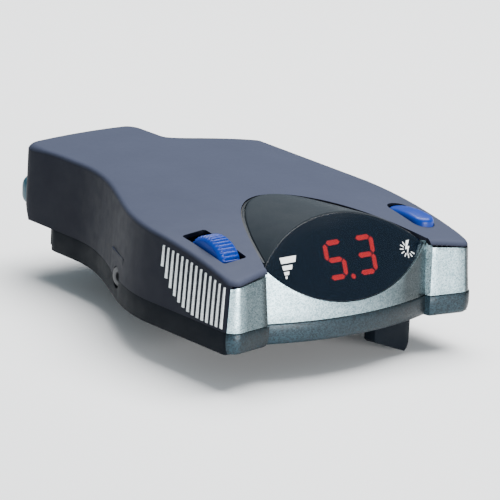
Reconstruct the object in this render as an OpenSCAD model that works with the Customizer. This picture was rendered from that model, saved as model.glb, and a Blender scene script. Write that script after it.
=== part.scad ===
// Dash-mounted trailer brake controller, modelled in millimetres.
// X to the right seen from the front, Y to the back, Z up.

/* [Overall size] */
// Width across the two side walls
body_width = 104; // [90:1:120]
// Depth from the front pillars to the rear wall
body_depth = 151; // [140:1:170]
// Height of the domed top above the base
body_height = 35.3; // [32:0.1:40]
// Height of the seam between the base and the cover
seam_height = 7.5; // [6.5:0.5:9]
// Wall thickness of the plastic shells
wall = 2; // [1.6:0.1:2.6]
// Radius of the crown across the top
crown_radius = 420; // [300:1:450]
// Radius of the roll down towards the front
front_radius = 239; // [200:1:300]
// Depth at which the top starts to roll down
dome_turn = 62; // [50:1:70]
// Radius of the rear vertical corners
rear_corner = 6; // [4:0.5:8]
// Radius of the front vertical corners
corner_radius = 4.5; // [4:0.5:7]

/* [Neck] */
// How far the left side steps in towards the neck
left_step = 22.5; // [16:0.5:28]
// How far the right side steps in towards the neck
right_step = 33; // [24:0.5:36]
// Depth at which the left side starts to sweep in
left_sweep_start = 45; // [40:1:60]
// Depth over which the left side sweeps in
left_sweep_length = 73; // [50:1:80]
// Depth over which the right shoulder sweeps in
shoulder_length = 14; // [10:1:20]

/* [Front face] */
// Half width of the centre face between the pillars
face_half_width = 34.1; // [30:0.1:38]
// How far the centre face bulges forward
face_bulge = 6.1; // [4:0.1:8]
// Depth of the ends of the centre face behind the pillars
face_end_depth = 4.2; // [3:0.1:6]
// Thickness of the silver bezel
bezel_wall = 2.2; // [1.8:0.1:2.8]
// How far the silver bezel wraps back along each side
bezel_wrap = 2.6; // [2.2:0.1:3.2]
// Depth the silver bezel fills behind the centre face
bezel_depth = 7.2; // [6.8:0.1:8]
// Depth of the front cut in the roof over the lens
roof_cut = 5.6; // [5:0.1:6.2]

/* [Lens] */
// Half width of the pointed oval lens
lens_half_width = 34; // [30:0.5:36]
// Half height of the lens along its own plane
lens_half_height = 15.3; // [13:0.1:17]
// Lean of the lens back from upright
lens_lean = 33; // [25:1:40]
// Depth of the lens centre
lens_depth = 6.8; // [6:0.1:9]
// Height of the lens centre
lens_height = 25.3; // [24:0.1:27]
// Thickness of the lens
lens_thickness = 2.2; // [1.6:0.1:3]
// Length of the display hood back along the top
hood_length = 47.5; // [44:0.5:56]
// Slope of the hood down towards the rear
hood_slope = 4.5; // [2:0.5:6]

/* [Digits] */
// Height of one display digit
digit_height = 14.2; // [12:0.2:16]
// Pitch between the display digits
digit_pitch = 12.7; // [11:0.1:14]
// Slant of the digits
digit_slant = 10; // [0:1:12]
// Sideways position of the display
digit_x = 4.6; // [-2:0.1:7]

/* [Power wheel] */
// Radius of the power wheel
wheel_radius = 11; // [10:0.25:12]
// Width of the power wheel
wheel_width = 8.6; // [7:0.1:9.4]
// How far the wheel stands above the cover
wheel_rise = 3.8; // [3:0.1:5]
// Number of ribs on the wheel rim
wheel_ribs = 32; // [24:1:48]
// Radius of the wheel shaft
shaft_radius = 2.6; // [2.2:0.1:3]
// Radius of the position sensor on the shaft
sensor_radius = 5.4; // [4.6:0.1:5.6]
// Sideways position of the wheel
wheel_x = -40.9; // [-42:0.1:-39]
// Depth position of the wheel
wheel_y = 24.5; // [23:0.5:28]

/* [Boost button] */
// Length of the boost button
boost_length = 20; // [16:0.5:22]
// Width of the boost button
boost_width = 8; // [7:0.1:9]
// How far the boost button stands above the cover
boost_rise = 1.8; // [1.4:0.1:2.4]
// Press travel of the boost button
boost_travel = 1; // [0.6:0.1:1.2]
// Sideways position of the boost button
boost_x = 41.8; // [39:0.1:42]
// Depth position of the boost button
boost_y = 23; // [22:0.5:27]

/* [Manual lever] */
// Radius from the lever pivot to the finger tab
lever_radius = 89.5; // [86:0.5:90]
// Rest angle of the lever to the right of straight ahead
lever_rest = 13.5; // [9:0.5:14]
// Radius of the lever pivot pin
pivot_radius = 2.5; // [2:0.1:3]
// Length of the finger tab under the base
tab_drop = 12; // [9:0.5:13]
// Width of the finger tab
tab_width = 19; // [14:0.5:20]
// Thickness of the finger tab
tab_thickness = 4.5; // [3.5:0.1:5]

/* [Side grips] */
// Number of grip ribs on each side
grip_count = 14; // [10:1:14]
// Pitch of the grip ribs
grip_pitch = 2.6; // [2.3:0.1:2.6]
// Depth of the foremost grip rib
grip_start = 5.2; // [5:0.1:6]
// Thickness of each grip rib
grip_thickness = 1.3; // [1:0.1:1.5]
// How far the grip ribs stand out of the wall
grip_stand = 0.5; // [0.3:0.1:0.8]

/* [Mounting] */
// Pilot radius of the two side mounting bores
mount_radius = 1.6; // [1.3:0.1:1.8]
// Depth of the side mounting bores
mount_length = 8; // [6:0.5:9]
// Distance of the mounting bores from the front
mount_y = 73; // [68:1:78]

/* [Rear inlet] */
// Width of the rear wiring inlet
inlet_width = 42; // [36:0.5:43]
// Height of the rear wiring inlet
inlet_height = 11.5; // [10:0.5:14]
// How far the inlet stands out of the rear wall
inlet_reach = 5; // [3:0.5:8]
// Depth of the socket in the inlet
socket_depth = 12; // [9:0.5:14]
// Number of blades in the inlet
blade_count = 5; // [4:1:6]

/* [Hidden] */
$fn = 64;
half_width = body_width / 2;
lift = tab_drop;
gap = 0.15;
run_gap = 0.05;
pillar_inner = face_half_width + 0.6;
pillar_set = 2.2;
pillar_outer = half_width - corner_radius + 1.5;
face_radius = (face_half_width * face_half_width + face_bulge * face_bulge) / (2 * face_bulge);
neck_left = -half_width + left_step;
neck_right = half_width - right_step;
neck_middle = (neck_left + neck_right) / 2;
left_sweep_end = left_sweep_start + left_sweep_length;
shoulder_start = left_sweep_end;
trim_stand = 0.4;
front_most = face_end_depth - face_bulge - trim_stand;
middle_y = (front_most + body_depth + inlet_reach) / 2;
base_end = body_depth - 16;
hood_crest = lens_height + lens_half_height * cos(lens_lean) + 0.5;
hood_top_y = lens_depth + lens_half_height * sin(lens_lean);
hood_radius = 48.3;
hood_wall = 2;
lens_circle = (lens_half_width * lens_half_width + lens_half_height * lens_half_height) / (2 * lens_half_height);
wheel_axis_z = dome_z(wheel_x, wheel_y) + wheel_rise - wheel_radius;
pivot_y = lever_radius + 4.5;
spring_y = pivot_y - 54 * cos(lever_rest);
spring_x = 54 * sin(lever_rest);
spring_z = 8.2;
anchor_x = 40;
lever_bottom = wall + 0.4;
lever_thickness = 2;
board_bottom = 6.4;
board_thickness = 1.6;
board_top = board_bottom + board_thickness;
boost_top = dome_z(boost_x, boost_y) + boost_rise;
boost_board_top = 14.5;
boost_crown = 46;
inlet_bottom = seam_height + 2.3;
screw_spots = [[-half_width + 6, 45], [half_width - 6, 45], [neck_left + 5, 125.5], [neck_right - 5, 125.5]];
board_spots = [[-20, 64], [34, 64], [8, 112]];
board_left = -24;
board_right = 38;
board_front = 60;
board_back = 116;
tab_hole = board_top + 15.7;
screw_radius = 1.5;
boss_radius = 3.2;

// Drop of the crown at a distance from the middle, and height of the top over a point
function crown(x) = crown_radius - sqrt(crown_radius * crown_radius - x * x);
function dome_z(x, y, inset = 0) = body_height - front_radius + sqrt(pow(front_radius - crown(x) - inset, 2) - pow(min(y - dome_turn, 0), 2));

// Left and right side of the plan outline at a depth
function ease(t) = (1 - cos(180 * min(max(t, 0), 1))) / 2;
function left_x(y) = -half_width + left_step * ease((y - left_sweep_start) / left_sweep_length);
function right_x(y) = half_width - right_step * ease((y - shoulder_start) / shoulder_length);
function face_y(x) = face_end_depth - face_bulge + face_radius - sqrt(face_radius * face_radius - x * x);

// Plan outline of the body, counter-clockwise from the rear left corner
function plan(rear) = concat(
  [for (a = [75:-15:0]) [left_x(rear) + rear_corner * (1 - cos(a)), rear - rear_corner * (1 - sin(a))]],
  [for (i = [0:18]) let (y = left_sweep_end - i * left_sweep_length / 18) [left_x(y), y]],
  [for (a = [0:15:90]) [-half_width + corner_radius * (1 - cos(a)), corner_radius * (1 - sin(a))]],
  [[-pillar_inner, pillar_set], [-face_half_width, face_end_depth]],
  [for (i = [1:19]) let (x = face_half_width * (i / 10 - 1)) [x, face_y(x)]],
  [[face_half_width, face_end_depth], [pillar_inner, pillar_set]],
  [for (a = [90:-15:0]) [half_width - corner_radius * (1 - cos(a)), corner_radius * (1 - sin(a))]],
  [for (i = [0:9]) let (y = shoulder_start + i * shoulder_length / 10) [right_x(y), y]],
  rear - rear_corner > shoulder_start + shoulder_length ? [[right_x(rear), shoulder_start + shoulder_length]] : [],
  rear - rear_corner > shoulder_start + shoulder_length ? [for (a = [0:15:90]) [right_x(rear) - rear_corner * (1 - cos(a)), rear - rear_corner * (1 - sin(a))]] : [[right_x(rear), rear]]);

function unit(v) = v / norm(v);
function corner_shift(a, b, c, d) = let (n = [a[1] - b[1], b[0] - a[0]] / norm(b - a), m = [b[1] - c[1], c[0] - b[0]] / norm(c - b)) b + (n + m) * d / (1 + n * m);
function inset_plan(p, d) = [for (i = [0:len(p) - 1]) corner_shift(p[(i + len(p) - 1) % len(p)], p[i], p[(i + 1) % len(p)], d)];

module place() {
  translate([0, -middle_y, lift]) children();
}

module plan_block(rear, inset, low, high) {
  translate([0, 0, low]) linear_extrude(high - low) polygon(inset_plan(plan(rear), inset));
}

module dome(inset) {
  reach = half_width + 4;
  steps = 24;
  xs = [for (i = [0:steps]) reach * (2 * i / steps - 1)];
  translate([0, dome_turn, body_height - front_radius]) rotate([0, 90, 0]) rotate_extrude($fn = 180)
    polygon(concat([[0, -reach]], [for (x = xs) [front_radius - inset - crown(x), x]], [[0, reach]]));
  translate([0, dome_turn + body_depth, 0]) rotate([90, 0, 0]) linear_extrude(body_depth)
    polygon(concat([[-reach, -60]], [for (x = xs) [x, body_height - inset - crown(x)]], [[reach, -60]]));
}

module box(low, high) {
  translate(low) cube(high - low);
}

module upright(x, y, low, high, r) {
  translate([x, y, low]) cylinder(r = r, h = high - low);
}

module cross(x, y, z, length, r) {
  translate([x, y, z]) rotate([0, 90, 0]) cylinder(r = r, h = length);
}

module front_zone(extra = 0) {
  box([-half_width - 2, -10, -5], [half_width + 2, bezel_wrap + extra, 60]);
  box([-pillar_outer, -10, -5], [pillar_outer, bezel_depth + extra, 60]);
}

// Slot with rounded ends, long way along Y
module slot_block(x, y, low, high, width, length) {
  box([x - width / 2, y - length / 2 + width / 2, low], [x + width / 2, y + length / 2 - width / 2, high]);
  for (s = [-1, 1]) upright(x, y + s * (length - width) / 2, low, high, width / 2);
}

// Pointed oval plate in the plane of the lens
module lens_plane() {
  translate([0, lens_depth, lens_height]) rotate([90 - lens_lean, 0, 0]) children();
}

module pointed_oval(extra, low, high) {
  intersection_for (s = [-1, 1])
    translate([0, s * (lens_circle - lens_half_height), low]) cylinder(r = lens_circle + extra, h = high - low, $fn = 128);
}

module lens_pocket(extra) {
  lens_plane() pointed_oval(extra, -14, 30);
}

// Plan of the display hood, a parabola widening to the lens tips
function hood_plan(extra) = concat(
  [for (i = [-16:16]) let (w = i / 16) [w * (lens_half_width + extra), lens_depth - 2 + (hood_length + extra) * (1 - w * w)]],
  [[lens_half_width + extra, -8], [-lens_half_width - extra, -8]]);

module hood_block(extra, low, high) {
  translate([0, 0, low]) linear_extrude(high - low) polygon(hood_plan(extra));
}

module hood_bubble(inset) {
  translate([0, hood_top_y, hood_crest]) rotate([-90 - hood_slope, 0, 0])
    translate([0, hood_radius, -30]) cylinder(r = hood_radius - inset, h = 120, $fn = 128);
}

module behind_lens(extra) {
  lens_plane() box([-60, -60, -120], [60, 90, extra]);
}

module upper_cover() {
  color("slategray") place() {
    difference() {
      intersection() {
        plan_block(body_depth, 0, seam_height, 60);
        dome(0);
      }
      intersection() {
        plan_block(body_depth, wall, seam_height - 1, 60);
        dome(wall);
      }
      // bezel seat at the front, under the roof skin
      intersection() {
        front_zone(gap);
        dome(wall - gap);
      }
      hood_block(0.8, 10, 60);
      box([-pillar_inner - 0.2, -10, 0], [pillar_inner + 0.2, roof_cut + gap, 60]);
      // wheel slot
      box([wheel_x - wheel_width / 2 - 0.5, wheel_y - wheel_radius - 0.4, 15], [wheel_x + wheel_width / 2 + 0.5, wheel_y + wheel_radius + 1, 60]);
      // boost button slot
      slot_block(boost_x, boost_y, 15, 60, boost_width + 0.6, boost_length + 0.6);
      // rear inlet window
      box([neck_middle - inlet_width / 2 - gap, body_depth - 12, inlet_bottom - gap], [neck_middle + inlet_width / 2 + gap, body_depth + 5, inlet_bottom + inlet_height + gap]);
      // grip slots
      for (s = [-1, 1]) grip_set(s, gap, 6, -1);
      // half-round seats for the mounting bushings
      for (s = [-1, 1]) bushing_space(s, gap);
    }
    // screw bosses under the roof
    difference() {
      intersection() {
        for (p = screw_spots) upright(p[0], p[1], seam_height, 60, boss_radius);
        dome(wall / 2);
        plan_block(body_depth, wall / 2, 0, 60);
      }
      for (p = screw_spots) upright(p[0], p[1], 0, 22, 1.3);
    }
    // guide collar under the boost button slot
    difference() {
      intersection() {
        slot_block(boost_x, boost_y, 22, 60, boost_width + 3.4, boost_length + 3.4);
        dome(wall / 2);
      }
      slot_block(boost_x, boost_y, 15, 60, boost_width + 0.6, boost_length + 0.6);
    }
  }
}

module front_bezel() {
  color("silver") place() {
    difference() {
      intersection() {
        plan_block(body_depth, 0, seam_height, 60);
        dome(wall);
        front_zone();
      }
      plan_block(body_depth, bezel_wall, 0, 60);
      lens_pocket(0.25);
      hood_space();
    }
    // rim under the lower half of the lens
    difference() {
      lens_plane() pointed_oval(1.6, -4, -0.3);
      lens_pocket(0.25);
      lens_plane() box([-60, -1, -30], [60, 60, 30]);
      box([-half_width, -20, 0], [-lens_half_width + 1.5, 60, 60]);
      box([lens_half_width - 1.5, -20, 0], [half_width, 60, 60]);
    }
  }
}

module hood_space() {
  lens_plane() box([-lens_half_width + 2, 0, -20], [lens_half_width - 2, 60, 30]);
}

module lower_case() {
  color("black") place() {
    difference() {
      union() {
        difference() {
          plan_block(base_end, 0, 0, seam_height);
          plan_block(base_end, wall, wall, seam_height + 1);
          // seat for the metallic front trim
          difference() {
            front_zone(gap);
            plan_block(base_end, wall + gap - 0.35, -1, 60);
          }
        }
        // front wall behind the trim
        intersection() {
          difference() {
            plan_block(base_end, wall + gap - 0.35, 0, seam_height);
            plan_block(base_end, 2 * wall, wall, seam_height + 1);
          }
          front_zone(wall);
        }
        for (p = screw_spots) intersection() {
          upright(p[0], p[1], 0, seam_height - 0.1, boss_radius);
          plan_block(base_end, wall / 2, 0, 60);
        }
        for (p = board_spots) upright(p[0], p[1], wall / 2, board_bottom, boss_radius);
        // lever pivot
        upright(0, pivot_y, wall / 2, lever_bottom + 3.6, pivot_radius);
        upright(0, pivot_y, wall / 2, lever_bottom - 0.1, pivot_radius + 3);
        // shaft posts and sensor cradle for the power wheel
        box([wheel_x - wheel_width / 2 - 3.2, wheel_y - 4, wall / 2], [wheel_x - wheel_width / 2 - 0.8, wheel_y + 4, wheel_axis_z + 4.5]);
        box([wheel_x + wheel_width / 2 + 2.8, wheel_y - 6, wall / 2], [wheel_x + wheel_width / 2 + 6.8, wheel_y + 6, wheel_axis_z - 2]);
        // posts that hold the boost board
        for (s = [-1, 1]) box([boost_x - 4, boost_y + s * 12 - 2, wall / 2], [boost_x + 4, boost_y + s * 12 + 2, boost_board_top - 1.4]);
        // posts that hold the display board
        for (s = [-1, 1]) box([s * 27.6 - 2, 12, wall / 2], [s * 27.6 + 2, 20, 14]);
        // spring anchor post
        upright(anchor_x, spring_y, wall / 2, spring_z + 2, 1.6);
        // floor of the neck under the inlet
        intersection() {
          plan_block(body_depth, wall + gap, seam_height - 0.6, seam_height + 2);
          box([neck_left + 2, base_end - 1.9, 0], [neck_right - 2, body_depth - wall - gap, 60]);
        }
        intersection() {
          plan_block(body_depth, wall + gap, 1, seam_height + 2);
          box([neck_left, base_end - 3, 0], [neck_right, base_end - 0.5, 60]);
        }
      }
      for (p = screw_spots) {
        upright(p[0], p[1], -1, 60, screw_radius + 0.2);
        upright(p[0], p[1], -1, 2.6, 2.9);
      }
      for (p = board_spots) upright(p[0], p[1], wall, 60, 1.15);
      cross(wheel_x - 10, wheel_y, wheel_axis_z, 8, shaft_radius + run_gap);
      cross(wheel_x + 5, wheel_y, wheel_axis_z, 12, sensor_radius + run_gap);
      display_board_space(0.1);
      lever_slot();
      for (s = [-1, 1]) bushing_space(s, gap);
    }
  }
}

// Curved opening in the floor that the lever stem swings in
module lever_slot() {
  spread = lever_rest + 3.9;
  intersection() {
    difference() {
      upright(0, pivot_y, -2, wall + 1.8, lever_radius + 2.1);
      upright(0, pivot_y, -3, wall + 3, lever_radius - 2.1);
    }
    translate([0, pivot_y, -5]) linear_extrude(20) polygon([[0, 0], [-120 * sin(spread), -120 * cos(spread)], [0, -160], [120 * sin(spread), -120 * cos(spread)]]);
  }
}

module lower_front_trim() {
  color("dimgray") place() {
    difference() {
      intersection() {
        plan_block(base_end, -trim_stand, 0, seam_height);
        front_zone();
      }
      plan_block(base_end, wall - 0.35, -1, 60);
    }
  }
}

module display_hood() {
  color("darkslategray") place() {
    difference() {
      intersection() {
        hood_block(0, 15, 60);
        hood_bubble(0);
        behind_lens(-0.05);
        box([2 - lens_half_width, -20, 0], [lens_half_width - 2, 100, 60]);
      }
      intersection() {
        hood_block(-hood_wall, 0, 60);
        hood_bubble(hood_wall);
      }
      lens_pocket(0.15);
      box([-60, -20, 0], [60, 100, 26.8]);
    }
  }
}

module hood_gasket() {
  color("black") place() {
    difference() {
      intersection() {
        hood_block(0.7, 20, 60);
        dome(0.6);
        behind_lens(-2.4);
      }
      hood_block(0.08, 0, 60);
      dome(wall);
      lens_pocket(0.3);
      box([-60, -20, 0], [60, roof_cut + 0.4, 60]);
    }
  }
}

module display_lens() {
  color("black") place() lens_plane() pointed_oval(0, -lens_thickness, 0);
}

// Generic marks printed on the lens: a shrinking wedge and a burst
module lens_marks() {
  color("white") place() lens_plane() {
    for (b = [[2.2, 6.9, 2.1], [-0.4, 4.3, 1.5], [-2.3, 2.2, 1.1], [-3.7, 0.9, 0.8]])
      translate([-26.1, b[0], 0]) linear_extrude(0.12) polygon([[0, b[2] / 2], [0, -b[2] / 2], [b[1] - 0.5 * b[2], -b[2] / 2], [b[1], b[2] / 2]]);
    translate([26.7, -1.4, 0]) {
      linear_extrude(0.12) polygon([[0.6, 3.1], [-0.8, 0.2], [0.1, 0.2], [-0.8, -2], [1.2, 1], [0.3, 1], [1.8, 3.1]]);
      for (a = [110:30:340]) rotate([0, 0, a]) translate([1.6, -0.15, 0]) cube([1.4, 0.3, 0.12]);
    }
  }
}

module led_display() {
  color("black") place() lens_plane() difference() {
    translate([digit_x - digit_pitch - 0.05, -9.5, -lens_thickness - 8.4]) cube([2 * digit_pitch + 0.1, 19, 8]);
    for (d = [-1, 1]) translate([digit_x + d * digit_pitch / 2, 0, -lens_thickness - 1.4]) digit_shape(8, 2, 0.06);
    decimal_point(0.06, -lens_thickness - 1.4, 2);
  }
}

function segment_length() = digit_height / 2 - 1.9;

// One seven-segment digit; each entry of mask keeps a bar
module digit_shape(mask, height, extra) {
  bars = [[0, 2, 0], [0, 0, 0], [0, -2, 0], [-1, 1, 90], [1, 1, 90], [-1, -1, 90], [1, -1, 90]];
  keep = mask == 5 ? [0, 1, 2, 3, 6] : mask == 3 ? [0, 1, 2, 4, 6] : [0, 1, 2, 3, 4, 5, 6];
  reach = digit_height / 4 - 0.55;
  for (k = keep) {
    b = bars[k];
    y = b[1] * reach;
    l = (segment_length() + extra) / 2;
    t = 0.82 + extra;
    translate([b[0] * 3.45 + y * tan(digit_slant), y, 0]) rotate([0, 0, b[2] == 0 ? 0 : 90 - digit_slant])
      linear_extrude(height) polygon([[-l - 0.3, 0], [-l + t - 0.3, t], [l - t + 0.3, t], [l + 0.3, 0], [l - t + 0.3, -t], [-l + t - 0.3, -t]]);
  }
}

module decimal_point(extra, low, height) {
  translate([digit_x - 1.15, 0.5 - digit_height / 2, low]) cylinder(r = 0.85 + extra, h = height);
}

module led_segments() {
  color("red") place() lens_plane() {
    translate([digit_x - digit_pitch / 2, 0, -lens_thickness - 1.3]) digit_shape(5, 0.9, 0);
    translate([digit_x + digit_pitch / 2, 0, -lens_thickness - 1.3]) digit_shape(3, 0.9, 0);
    decimal_point(0, -lens_thickness - 1.3, 0.9);
  }
}

module display_board_plate(extra) {
  lens_plane() translate([-28.5 - extra, -12 - extra, -lens_thickness - 10 - extra]) cube([57 + 2 * extra, 19.5 + 2 * extra, board_thickness + 2 * extra]);
}

module display_board_space(extra) {
  display_board_plate(extra);
}

module display_board() {
  color("darkgreen") place() display_board_plate(0);
}

module display_cable() {
  color("lightgray") place() translate([-16, 0, 0]) rotate([90, 0, 90]) linear_extrude(12)
    polygon([[20.6, 14], [23.5, 12.5], [54, 12.5], [63, board_top + 0.8], [66, board_top + 0.8], [66, board_top], [62.7, board_top], [53.8, 12], [23.3, 12], [20.3, 13.6]]);
}

module main_board() {
  color("darkgreen") place() difference() {
    box([board_left, board_front, board_bottom], [board_right, board_back, board_top]);
    for (p = board_spots) upright(p[0], p[1], 0, 60, 1.6);
  }
}

module control_chip() {
  color("black") place() {
    box([-4, 76, board_top + 0.2], [8, 88, board_top + 1.8]);
    for (s = [-1, 1], i = [0:9]) {
      box([2 + s * 7 - 1.2, 77 + i * 1.1, board_top], [2 + s * 7 + 1.2, 77.45 + i * 1.1, board_top + 0.6]);
    }
  }
}

module capacitors() {
  color("midnightblue") place() for (y = [76, 89, 102]) difference() {
    upright(-17, y, board_top, board_top + 17, 5);
    translate([-17, y, board_top + 2.4]) rotate_extrude() translate([5.2, 0]) circle(r = 0.6, $fn = 24);
  }
}

module inertia_sensor() {
  color("black") place() {
    box([-8, 94, board_top], [12, 108, board_top + 12]);
    upright(2, 101, board_top + 11, board_top + 13, 5);
  }
}

module heat_sink() {
  color("silver") place() difference() {
    box([24, 70, board_top + 0.4], [37, 108, 27.5]);
    for (i = [0:5]) box([27, 73 + i * 6, board_top - 1], [38, 76.4 + i * 6, 60]);
    for (i = [0:2]) cross(20, 76.2 + i * 12.5, tab_hole, 10, 1.3);
  }
}

module power_transistors() {
  color("black") place() for (i = [0:2]) {
    y = 76.2 + i * 12.5;
    difference() {
      union() {
        box([19.6, y - 5, board_top + 4], [24, y + 5, board_top + 12.6]);
        box([22.7, y - 5, board_top + 4], [24, y + 5, board_top + 19.5]);
        for (k = [-1:1]) box([22, y + k * 2.54 - 0.4, board_bottom - 0.6 + 2.2], [22.6, y + k * 2.54 + 0.4, board_top + 4.5]);
      }
      cross(15, y, tab_hole, 12, 1.7);
    }
  }
}

module transistor_screws() {
  color("gray") place() for (i = [0:2]) {
    y = 76.2 + i * 12.5;
    cross(21, y, tab_hole, 5.5, 1.25);
    difference() {
      cross(20.6, y, tab_hole, 2, 2.4);
      translate([20.6, y - 3, tab_hole - 0.4]) cube([0.8, 6, 0.8]);
    }
  }
}

module power_wheel() {
  color("royalblue") place() translate([wheel_x - wheel_width / 2, wheel_y, wheel_axis_z]) rotate([0, 90, 0]) difference() {
    union() {
      cylinder(r = wheel_radius - 0.7, h = wheel_width);
      translate([0, 0, 1]) cylinder(r = wheel_radius - 0.35, h = wheel_width - 2);
      for (i = [0:wheel_ribs - 1]) rotate([0, 0, i * 360 / wheel_ribs]) translate([wheel_radius - 0.75, 0, 1.1]) cylinder(r = 0.75, h = wheel_width - 2.2, $fn = 24);
    }
    translate([0, 0, -1]) cylinder(r = shaft_radius + 0.02, h = wheel_width + 2);
    translate([0, 0, wheel_width - 2.5]) difference() {
      cylinder(r = wheel_radius - 3, h = 3);
      cylinder(r = shaft_radius + 2.2, h = 3);
    }
  }
}

module wheel_shaft() {
  color("silver") place() difference() {
    cross(wheel_x - wheel_width / 2 - 3, wheel_y, wheel_axis_z, wheel_width + 10.9, shaft_radius);
    box([wheel_x + wheel_width / 2 + 5.4, wheel_y - 5, wheel_axis_z + shaft_radius - 0.8], [wheel_x + wheel_width / 2 + 20, wheel_y + 5, wheel_axis_z + 6]);
  }
}

module wheel_sensor() {
  color("dimgray") place() {
    difference() {
      cross(wheel_x + wheel_width / 2 + 2, wheel_y, wheel_axis_z, 5.5, sensor_radius);
      cross(wheel_x + wheel_width / 2 - 2, wheel_y, wheel_axis_z, 20, shaft_radius + run_gap);
    }
    for (k = [-1:1]) box([wheel_x + wheel_width / 2 + 7.4, wheel_y + k * 2.4 - 0.4, wheel_axis_z - 9], [wheel_x + wheel_width / 2 + 8, wheel_y + k * 2.4 + 0.4, wheel_axis_z - 3]);
  }
}

module boost_button() {
  color("royalblue") place() {
    intersection() {
      slot_block(boost_x, boost_y, boost_top - 9, boost_top + 4, boost_width, boost_length);
      cross(boost_x - boost_width, boost_y, boost_top - boost_crown, 2 * boost_width, boost_crown);
    }
    // flange that stops the button under the roof
    slot_block(boost_x, boost_y, boost_top - 12.6, boost_top - 8.9, boost_width, boost_length);
  }
}

module boost_dome() {
  color("gray") place() translate([boost_x, boost_y, boost_board_top]) rotate_extrude()
    polygon([[3.9, 0], [5, 0], [5, 0.8], [3.2, boost_top - 12.6 - boost_board_top], [2.5, boost_top - 12.6 - boost_board_top], [3.9, 0.8]]);
}

module boost_switch() {
  color("silver") place() {
    box([boost_x - 2, boost_y - 2, boost_board_top], [boost_x + 2, boost_y + 2, boost_board_top + 3.1]);
    upright(boost_x, boost_y, boost_board_top + 3, boost_top - 12.7 - boost_travel, 1.4);
  }
}

module boost_board() {
  color("darkgreen") place() box([boost_x - 5.5, boost_y - 14, boost_board_top - 1.4], [boost_x + 5.5, boost_y + 14, boost_board_top]);
}

module lever_turn() {
  translate([0, pivot_y, 0]) rotate([0, 0, lever_rest]) children();
}

module manual_lever() {
  color("black") place() lever_turn() difference() {
    union() {
      upright(0, 0, lever_bottom, lever_bottom + 2.8, 6);
      // arm to the stem
      box([-4, -lever_radius, lever_bottom], [4, 0, lever_bottom + lever_thickness]);
      // stem through the floor
      intersection() {
        difference() {
          upright(0, 0, -1.2, lever_bottom + lever_thickness, lever_radius + 1.7);
          upright(0, 0, -3, 20, lever_radius - 1.7);
        }
        box([-5, -2 * lever_radius, -2], [5, 0, 20]);
      }
      // finger tab, deep on the right and shallow on the left
      intersection() {
        difference() {
          upright(0, 0, -tab_drop, -0.4, lever_radius + tab_thickness / 2);
          upright(0, 0, -tab_drop - 1, 2, lever_radius - tab_thickness / 2);
        }
        rotate([90, 0, 0]) linear_extrude(2 * lever_radius)
          polygon([[-tab_width / 2, 1], [-tab_width / 2, 1 - tab_drop / 2], [1.2 - tab_width / 2, -tab_drop / 2], [tab_width / 2 - 2.4, -tab_drop], [tab_width / 2 - 0.9, 0.9 - tab_drop], [tab_width / 2, 2.6 - tab_drop], [tab_width / 2 + 0.5, 1]]);
      }
      // lug the spring hooks on
      upright(0, -54, lever_bottom, spring_z + 1.6, 1.2);
      // seat for the magnet
      upright(0, -24, lever_bottom, lever_bottom + lever_thickness, 4.5);
    }
    upright(0, 0, -1, 20, pivot_radius + run_gap);
    upright(0, -24, lever_bottom + 0.4, 20, 2.5);
  }
}

module lever_clip() {
  color("silver") place() difference() {
    upright(0, pivot_y, lever_bottom + 3, lever_bottom + 3.5, 4.6);
    upright(0, pivot_y, -1, 20, pivot_radius);
  }
}

// Close-wound return spring between the lug and the anchor post
module lever_spring() {
  turns = 26;
  color("silver") place() translate([0, spring_y, spring_z]) {
    translate([spring_x + 4.6, 0, 0]) rotate([0, 90, 0]) rotate_extrude() for (i = [0:turns - 1]) translate([1.9, i * 0.8]) circle(r = 0.5, $fn = 24);
    translate([spring_x + 1.7, 1.9, 0]) rotate([0, 90, 0]) cylinder(r = 0.5, h = 3.2, $fn = 24);
    translate([spring_x + 4.6 + (turns - 1) * 0.8 - 0.3, 1.9, 0]) rotate([0, 90, 0]) cylinder(r = 0.5, h = anchor_x - spring_x - 4.6 - (turns - 1) * 0.8 - 1.2, $fn = 24);
  }
}

module lever_magnet() {
  color("silver") place() lever_turn() upright(0, -24, lever_bottom + 0.4, lever_bottom + lever_thickness, 2.5);
}

module hall_sensor() {
  color("black") place() box([3, pivot_y - 25, board_top], [7, pivot_y - 22, board_top + 1.5]);
}

// Grip ribs on one side, widened by extra, from inside depth to outside stand
module grip_set(s, extra, inside, outside) {
  reach = outside < 0 ? 3 : outside;
  for (i = [0:grip_count - 1]) {
    y = grip_start + i * grip_pitch;
    t = i / (grip_count - 1);
    low = seam_height + 1.2 + 12.5 * pow(t, 1.6);
    high = dome_z(half_width, y) - 2.6;
    box([s > 0 ? half_width - wall - (outside < 0 ? 1 : 0.6) : -half_width - reach, y - grip_thickness / 2 - extra, low - extra],
      [s > 0 ? half_width + reach : -half_width + wall + (outside < 0 ? 1 : 0.6), y + grip_thickness / 2 + extra, high + extra]);
  }
}

module grip_ribs(s) {
  grip_set(s, 0, 0, grip_stand);
  // backing strip inside the wall
  first = grip_start - grip_thickness / 2;
  last = grip_start + (grip_count - 1) * grip_pitch + grip_thickness / 2;
  box([s > 0 ? half_width - wall - 1.1 : -half_width + wall + 0.05, first, seam_height + 13], [s > 0 ? half_width - wall - 0.05 : -half_width + wall + 1.1, last, seam_height + 14.8]);
}

module grip_ribs_left() {
  color("silver") place() grip_ribs(-1);
}

module grip_ribs_right() {
  color("silver") place() grip_ribs(1);
}

// Space taken by a side mounting bushing
module bushing_space(s, extra) {
  outer = s < 0 ? left_x(mount_y) + 1.2 : half_width - 0.4;
  cross(s < 0 ? outer - 6 : outer - mount_length - 2.5 - extra, mount_y, seam_height, mount_length + 8.5 + extra, 3.6 + extra);
}

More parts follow.
